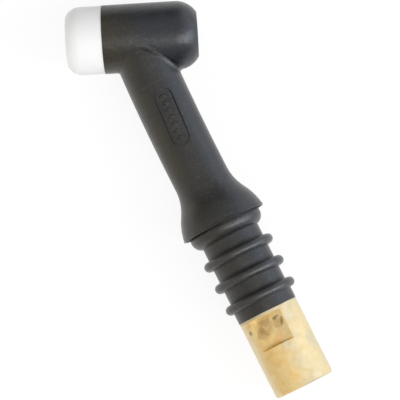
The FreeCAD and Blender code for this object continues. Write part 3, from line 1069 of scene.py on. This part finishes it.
@dataclass
class ThreadRidges:
    """The ridges of an internal thread, as one helical ridge on the bore's wall.

    The setback is how far the ridge's middle lies behind the mount's place, and the run-out is
    how many pitches at each end of the bore stay free.
    """

    name: str
    mount: dict
    pitch: float
    depth: float
    setback: float = 0.0
    run_out: float = 0.6
    turn_points: int = 40

    def build(self) -> Piece:
        """Carries a ridge along a helix.

        A point of the helix at turn t is the bore's middle + axis * (pitch * t - length / 2)
        + radius * (cos(2 pi t) * side + sin(2 pi t) * up). The section is the thread's flanks at
        60 degrees with a narrow crest, and it shrinks to nothing over half a turn at each end.

        Returns:
            The ridge.
        """
        radius = self.mount["dims"]["r_mm"] * MM
        length = self.mount["dims"]["length_mm"] * MM - 2 * self.run_out * self.pitch
        axis = np.array(self.mount["axis"])
        middle = np.array(self.mount["pos_m"]) - axis * self.setback
        turns = length / self.pitch
        at = np.linspace(0, turns, int(turns * self.turn_points))
        up = np.array([0.0, 0.0, 1.0])
        angle = 2 * math.pi * at[:, None]
        out = np.cos(angle) * np.cross(up, axis) + np.sin(angle) * up
        path = middle + axis * (self.pitch * at[:, None] - length / 2) + radius * out
        section = np.array([[-0.43, 0.04], [-0.10, -1.0], [0.10, -1.0], [0.43, 0.04]])
        section = section * np.array([self.pitch, self.depth])
        scale = np.clip(np.minimum(at, turns - at) * 2, 0.05, 1.0)
        along = np.broadcast_to(axis, path.shape)
        return surface(self.name, sweep(path, along, out, section, scale), smooth=False)


@dataclass
class RubberHousing:
    """The moulding, and what its mould left: crease flash, rim lip, stem flash and mark pips."""

    axes: Axes
    sizes: MouldSizes
    neck_places: tuple[float, ...] = (-142.7 * MM, -106.7 * MM, -84.2 * MM)
    neck_shifts: tuple[float, ...] = (1.5 * MM, 0.05 * MM, 0.0)
    neck_depths: tuple[float, ...] = (12.0 * MM, 10.64 * MM, 10.4 * MM)
    crease_reach: float = math.radians(84)
    crease_fade: float = math.radians(30)
    crease_width: float = 0.12 * MM
    crease_height: float = 0.07 * MM
    mark_middle: Span = (-108.5 * MM, 0.4 * MM)
    mark_half: Span = (11.3 * MM, 3.4 * MM)
    mark_turn: float = math.radians(-3.5)
    pip_count: int = 7
    pip_pitch: float = 2.75 * MM
    pip_half: Span = (1.10 * MM, 1.95 * MM)
    pip_height: float = 0.27 * MM
    pip_sunk: float = 0.15 * MM
    pip_top: float = 0.62

    def neck_at(self, x: Array) -> tuple[Array, Array]:
        """The neck's shift and half depth at x: parabolas through its three sections.

        Args:
            x: Places along the neck.

        Returns:
            Shift and half depth there.
        """
        shift, depth = (
            np.polyval(np.polyfit(self.neck_places, values, 2), x)
            for values in (self.neck_shifts, self.neck_depths)
        )
        return shift, depth

    def crease_flash(self) -> Piece:
        """The thin flash along the crease where the neck meets the head, on the cap side.

        At angle t round the neck, y = shift + radius * cos t and z = depth * sin t. The head's
        wall is at x = crossing x + (sqrt(head radius^2 - z^2) + sin(lean) * y) / cos(lean). The
        shift and the depth depend on x, and a few rounds settle the three.

        Returns:
            The flash.
        """
        t = np.linspace(-self.crease_reach, self.crease_reach, 160)
        way = np.array(self.axes.head)
        across = np.array([-way[1], way[0], 0.0])
        crossing, head, neck = self.axes.crossing.x, self.sizes.head_radius, self.sizes.neck_radius
        x = np.full_like(t, crossing + head)
        for _ in range(4):
            shift, depth = self.neck_at(x)
            y, z = shift + neck * np.cos(t), depth * np.sin(t)
            x = crossing + (np.sqrt(head**2 - z**2) - across[1] * y) / across[0]
        outward = unit(np.column_stack([np.zeros_like(t), np.cos(t) / neck, np.sin(t) / depth]))
        path = np.column_stack([x, y, z])
        side = unit(np.cross(outward, unit(np.gradient(path, axis=0))))
        lift = unit(outward + 0.35 * across)
        path = path + 0.02 * MM * lift
        scale = np.clip((self.crease_reach - np.abs(t)) / self.crease_fade, 0.05, 1.0)
        section = half_round(self.crease_width, self.crease_height)
        return surface("crease_flash", sweep(path, side, lift, section, scale))

    def ring_piece(self, name: str, section: Array, waver: float, seed: int) -> Piece:
        """Turns a section about the neck's axis, with an edge that wavers.

        A point is (x, r cos t, r sin t), where x gains waver * a sum of five sines of t.

        Args:
            name: The piece's name.
            section: Radius, place along x and share of the waver, to a row.
            waver: How far the edge wavers.
            seed: Picks the sines' phases.

        Returns:
            The ring.
        """
        t = np.linspace(0, 2 * math.pi, 192, endpoint=False)
        phases = np.random.default_rng(seed).uniform(0, 2 * math.pi, 5)
        beats = np.array([3, 7, 11, 19, 31])
        wave = (np.sin(t[:, None] * beats + phases) / np.sqrt(beats)).sum(axis=1)
        radius, along, share = (section[None, :, column] for column in range(3))
        x = along + waver * wave[:, None] * share
        grid = np.stack([x, radius * np.cos(t)[:, None], radius * np.sin(t)[:, None]], axis=-1)
        return surface(name, grid, ring_rows=True)

    def rim_lip(self) -> Piece:
        """The skirt's rim, drawn out to a thin rounded lip: half an ellipse with a flat back."""
        thick, long = 0.36 * MM, 0.30 * MM
        middle, front, back = 0.42 * MM, 0.1 * MM, 0.5 * MM
        turn = np.linspace(-0.5 * math.pi, 0.5 * math.pi, 7)
        radius = self.sizes.rim_radius - middle + thick * np.sin(turn)
        along = self.sizes.rim_place - front + long * np.cos(turn)
        radius = np.r_[radius, radius[-1], radius[0]]
        along = np.r_[along, [self.sizes.rim_place - back] * 2]
        shares = np.r_[np.cos(turn), 0, 0]
        return self.ring_piece("rim_lip", np.column_stack([radius, along, shares]), 0.06 * MM, 3)

    def stem_flash(self) -> Piece:
        """The thin ragged edge of rubber that the mould pressed over the cable socket."""
        outer, inner = (self.sizes.stem_end_radius - depth * MM for depth in (0.04, 0.22))
        buried, edge = 0.35 * MM, 0.07 * MM
        end = self.sizes.stem_end
        section = np.array(
            [
                [outer, end - buried, 0.0],
                [inner, end - buried, 0.0],
                [inner, end + edge, 1.0],
                [inner + edge, end + 0.08 * MM, 1.0],
                [outer, end + 0.01 * MM, 0.4],
            ]
        )
        return self.ring_piece("stem_flash", section, 0.07 * MM, 5)

    def floor_terms(self, x: Array, y: Array) -> Array:
        """The terms 1, x, y, x^2 and y^2 of a curved floor, with x from the field's middle.

        Args:
            x: Places along the neck.
            y: Places across it.

        Returns:
            The five terms, along the last axis.
        """
        x = x - self.mark_middle[0]
        return np.stack([np.ones_like(x), x, y, x**2, y**2], axis=-1)

    def field_floor(self, node: Piece) -> Array:
        """Fits the floor of the field on the neck to the moulding's own points there.

        The first fit takes the points in and beside the field, and the second only those that
        lie below the first.

        Args:
            node: The moulding.

        Returns:
            The factors of the floor's five terms.
        """
        points = np.empty(len(node.data.vertices) * 3, np.float32)
        node.data.vertices.foreach_get("co", points)
        points = points.reshape(-1, 3).astype(float)
        cos, sin = math.cos(self.mark_turn), math.sin(self.mark_turn)
        dx, dy = (points[:, :2] - self.mark_middle).T
        inside = np.abs(np.stack([dx * cos + dy * sin, dy * cos - dx * sin], axis=-1)) < self.mark_half
        on_top = points[:, 2] > 8 * MM
        x, y, z = points[inside.all(axis=1) & on_top].T
        terms = self.floor_terms(x, y)
        low = z < terms @ np.linalg.lstsq(terms, z, rcond=None)[0]
        return np.linalg.lstsq(terms[low], z[low], rcond=None)[0]

    def mark_pips(self, node: Piece) -> Piece:
        """A plain row of raised lozenges in the field on the neck, in place of any marking.

        A lozenge's point at angle t is its middle + shrink * (half width * cos t, half length *
        sin t), turned with the field and set on the fitted floor. Its rows go from a sunk foot
        over the outline to the rim of the flat top and its middle.

        Args:
            node: The moulding.

        Returns:
            The pips, as one piece.
        """
        (mx, my), (half_width, half_length) = self.mark_middle, self.pip_half
        cos, sin = math.cos(self.mark_turn), math.sin(self.mark_turn)
        t = np.linspace(0, 2 * math.pi, 4, endpoint=False)
        shrink = np.array([[1.0], [1.0], [self.pip_top], [0.0]])
        lift = np.array([[-self.pip_sunk], [0.0], [self.pip_height], [self.pip_height]])
        places = (np.arange(self.pip_count) - (self.pip_count - 1) / 2) * self.pip_pitch
        u = places[:, None, None] + shrink * np.cos(t) * half_width
        v = np.broadcast_to(shrink * np.sin(t) * half_length, u.shape)
        x, y = mx + u * cos - v * sin, my + u * sin + v * cos
        z = self.floor_terms(x, y) @ self.field_floor(node) + lift
        count, rows, columns = u.shape
        starts = np.arange(count)[:, None, None] * rows * columns
        faces = (grid_faces(rows, columns, False)[:, ::-1] + starts).reshape(-1, 4)
        return mesh_piece("mark_pips", np.stack([x, y, z], axis=-1).reshape(-1, 3), faces.tolist())

    def build(self, node: Piece, material: Material) -> None:
        """Builds and finishes the housing's own pieces.

        Args:
            node: The moulding.
            material: The rubber.
        """
        dress(node, material)
        for piece in (self.crease_flash(), self.rim_lip(), self.stem_flash(), self.mark_pips(node)):
            finish_piece(piece, material, Body.TORCH)


@dataclass
class Metalwork:
    """The brass core and socket with their threads, the copper tube and the solder."""

    axes: Axes
    nodes: dict[str, Piece]
    mounts: dict[str, dict]

    def build(self) -> None:
        """Dresses the metal nodes and cuts their threads."""
        flat = self.mounts["spanner_flat_near"]
        socket = TurnedBrass(stains=SOCKET_STAINS).make(Vector(), Vector((1, 0, 0)), flat)
        core = TurnedBrass(
            name="core_brass", bright=(0.80, 0.58, 0.26), orange=(0.60, 0.36, 0.12), tarnish=0.5
        ).make(self.axes.crossing, self.axes.head, flat)
        copper, solder = DrawnCopper().make(), SilverSolder().make()
        finishes = {
            "cable_socket": socket,
            "head_core": core,
            "neck_tube": copper,
            "head_solder_ring": solder,
            "socket_solder_ring": solder,
        }
        for name, material in finishes.items():
            dress(self.nodes[name], material)
        threads = (
            ("cable_thread", 1.5 * MM, 0.80 * MM, 7.7 * MM, socket, Slot.SOCKET_BRASS),
            ("collet_thread", 0.794 * MM, 0.42 * MM, 0.0, core, Slot.CORE_BRASS),
            ("cap_thread", 0.907 * MM, 0.48 * MM, 0.0, core, Slot.CORE_BRASS),
        )
        for mount, pitch, depth, setback, material, slot in threads:
            ridges = ThreadRidges(mount + "_ridges", self.mounts[mount], pitch, depth, setback)
            finish_piece(ridges.build(), material, Body.TORCH)


@dataclass
class CupGasket:
    """The white ring that the cup seats on, which pulls off the head."""

    axes: Axes

    def build(self, node: Piece) -> None:
        """Gives the gasket its PTFE.

        Args:
            node: The gasket.
        """
        dress(node, WhitePtfe().make(self.axes))


# -------------------------------------------------------------------- studio


def seen_or_reflected(nodes: Nodes) -> Socket:
    """1 for rays that show a thing to the eye, straight, in a reflection or through glass.

    Args:
        nodes: Where to work it out.

    Returns:
        The mask.
    """
    path = nodes.put("LightPath").outputs
    seen = nodes.maths("MAXIMUM", path["Is Camera Ray"], path["Is Transmission Ray"])
    return nodes.maths("MAXIMUM", seen, path["Is Glossy Ray"])


@dataclass(frozen=True)
class Surround:
    """A white surround with three strengths: seen, mirrored and as the light that it spreads.

    Seen straight it is white. Mirrored it is dim at the horizon but for a cool window on +y and
    a warm wall on -y, and pale overhead. The light that it spreads comes from the sides more
    than from above. A span says where a direction's part starts and where it is full.
    """

    overhead: Span = (0.15, 0.85)
    window_side: Span = (0.45, 0.95)
    wall_side: Span = (-0.3, -0.95)
    foot_side: Span = (-0.3, 0.9)
    tinted_height: Span = (0.9, 0.3)
    overhead_level: float = 0.69
    window_level: float = 1.3
    high_window_level: float = 0.45
    wall_level: float = 0.60
    foot_level: float = 0.12
    spread_up: float = 0.14
    spread_y: float = 0.63
    spread_x: float = 0.30
    spread_tilt: float = -0.30
    window_tint: Colour = (0.80, 0.90, 1.0)
    wall_tint: Colour = (1.0, 0.92, 0.80)

    def build(self) -> None:
        """Makes the world.

        Mirrored: mix of (foot + window + wall) and overhead, + the high window. Spread:
        up + y * |direction y| + x * |direction x| + tilt * direction y.
        """
        world = bpy.data.worlds.new("surround")
        world.use_nodes = True
        bpy.context.scene.world = world
        nodes = Nodes(world.node_tree)
        x, y, z = nodes.put("SeparateXYZ", {0: nodes.put("TexCoord").outputs["Generated"]}).outputs
        window, wall = nodes.step(y, *self.window_side), nodes.step(y, *self.wall_side)
        level = nodes.product(nodes.step(x, *self.foot_side), self.foot_level)
        level = nodes.rise(window, self.window_level, level)
        level = nodes.rise(wall, self.wall_level, level)
        mirrored = nodes.between(nodes.step(z, *self.overhead), level, self.overhead_level)
        mirrored = nodes.rise(window, self.high_window_level, mirrored)
        spread = nodes.rise(nodes.maths("ABSOLUTE", y), self.spread_y, self.spread_up)
        spread = nodes.rise(nodes.maths("ABSOLUTE", x), self.spread_x, spread)
        spread = nodes.rise(y, self.spread_tilt, spread)
        glossy = nodes.put("LightPath").outputs["Is Glossy Ray"]
        plain = nodes.between(seen_or_reflected(nodes), spread, 1.0)
        low = nodes.product(glossy, nodes.step(z, *self.tinted_height))
        tint = nodes.blend(nodes.product(window, low), WHITE, self.window_tint)
        tint = nodes.blend(nodes.product(wall, low), tint, self.wall_tint)
        background = world.node_tree.nodes["Background"].inputs
        world.node_tree.links.new(tint, background["Color"])
        world.node_tree.links.new(nodes.between(glossy, plain, mirrored), background["Strength"])


@dataclass(frozen=True)
class Lamp:
    """A soft rectangular lamp: place from the middle of the view, long and short side, watts."""

    name: str
    place: Place
    size: Span
    power: float
    colour: Colour

    def hang(self, middle: Vector, across: Vector) -> None:
        """Hangs the lamp so that it faces the middle of the view.

        Args:
            middle: The middle of the view.
            across: Where its long side points, as far as facing the middle leaves it.
        """
        data = bpy.data.lights.new(self.name, "AREA")
        data.shape, data.energy, data.color = "RECTANGLE", self.power, self.colour
        data.size, data.size_y = self.size
        back = Vector(self.place).normalized()
        long_side = (across - back * across.dot(back)).normalized()
        turn = Matrix((long_side, back.cross(long_side), back)).transposed().to_4x4()
        show(self.name, data).matrix_world = Matrix.Translation(middle + Vector(self.place)) @ turn


@dataclass
class Studio:
    """A pale floor, a white surround, soft lamps and the camera.

    The camera hangs over its stand and looks at the aim, both given as x and y. The view's
    width is what it takes in at the aim's distance, and the roll turns its right side from +x.
    """

    floor_level: float
    head_way: Vector
    floor_half: float = 3.0
    floor_seen: Colour = (0.86, 0.86, 0.86)
    floor_lighting: Colour = (0.15, 0.15, 0.15)
    floor_glow: float = 0.875
    height: float = 0.740
    aim: Span = (-0.07755, -0.0039)
    stand: Span = (-0.01875, -0.0140)
    view_width: float = 0.146789
    roll: float = math.radians(63.34)
    sensor: float = 36.0
    lamps: tuple[Lamp, ...] = (
        Lamp("key", (0.47, 0.32, 0.80), (1.05, 0.26), 5.1, (1.0, 0.997, 0.99)),
        Lamp("window", (0.37, 0.50, 0.44), (0.32, 0.32), 1.15, (0.90, 0.95, 1.0)),
        Lamp("low_window", (0.38, 0.74, 0.20), (0.55, 0.32), 1.75, (0.80, 0.90, 1.0)),
        Lamp("fill", (-0.10, -0.72, 0.22), (0.60, 0.40), 0.25, (1.0, 0.95, 0.87)),
    )

    def floor(self) -> None:
        """A large floor that looks almost white, keeps the shadow and throws little light back."""
        corners = np.array([[-1, -1], [1, -1], [1, 1], [-1, 1]]) * self.floor_half
        points = np.column_stack([corners, np.full(4, self.floor_level)])
        floor = mesh_piece("floor", points, [[0, 1, 2, 3]])
        s = Surface("floor_white", Roughness=0.9, Specular_IOR_Level=0.0, Emission_Color=(*WHITE, 1.0))
        seen = seen_or_reflected(s)
        s.feed("Base Color", s.blend(seen, self.floor_seen, self.floor_lighting))
        s.feed("Emission Strength", s.product(seen, self.floor_glow))
        floor.data.materials.append(s.material)
        floor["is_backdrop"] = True

    def camera(self) -> None:
        """Looks down at the object from over its lower half, turned so that the neck slants."""
        place, aim = Vector((*self.stand, self.height)), Vector((*self.aim, 0.0))
        distance = (place - aim).length
        back = (place - aim).normalized()
        right = Vector((math.cos(self.roll), math.sin(self.roll), 0.0))
        right = (right - back * right.dot(back)).normalized()
        turn = Matrix((right, back.cross(right), back)).transposed().to_4x4()
        data = bpy.data.cameras.new("camera")
        data.sensor_width = self.sensor
        data.lens = self.sensor * distance / self.view_width
        data.clip_end = 20.0
        camera = show("camera", data)
        camera.matrix_world = Matrix.Translation(place) @ turn
        bpy.context.scene.camera = camera

    def build(self) -> None:
        """Sets the stage, the lamps and the camera."""
        self.floor()
        Surround().build()
        for lamp in self.lamps:
            lamp.hang(Vector((*self.aim, 0.0)), -self.head_way)
        self.camera()
        bpy.context.scene.view_settings.view_transform = "Standard"
        log.info("studio: floor at %.4f m", self.floor_level)


def corners(box: tuple[Vector, Vector]) -> list[list[float]]:
    """Turns a box's two corners into plain lists.

    Args:
        box: Lowest and highest corner.

    Returns:
        The same as lists of numbers.
    """
    return [list(map(float, corner)) for corner in box]


def main() -> None:
    """Builds the classes in order."""
    logging.basicConfig(level=logging.INFO, format="%(name)s: %(message)s")
    solid_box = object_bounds()
    nodes = frame["nodes"]
    mounts = {mount["name"]: mount for mount in frame["record"]["mounts"]}
    axes, sizes = Axes.from_mounts(mounts), MouldSizes()
    make_effects()
    RubberHousing(axes, sizes).build(nodes["rubber_body"], SatinRubber(sizes).make(axes))
    CupGasket(axes).build(nodes["cup_gasket"])
    Metalwork(axes, nodes, mounts).build()
    Studio(floor_level=solid_box[0].z, head_way=axes.head).build()


if __name__ == "__main__":
    main()
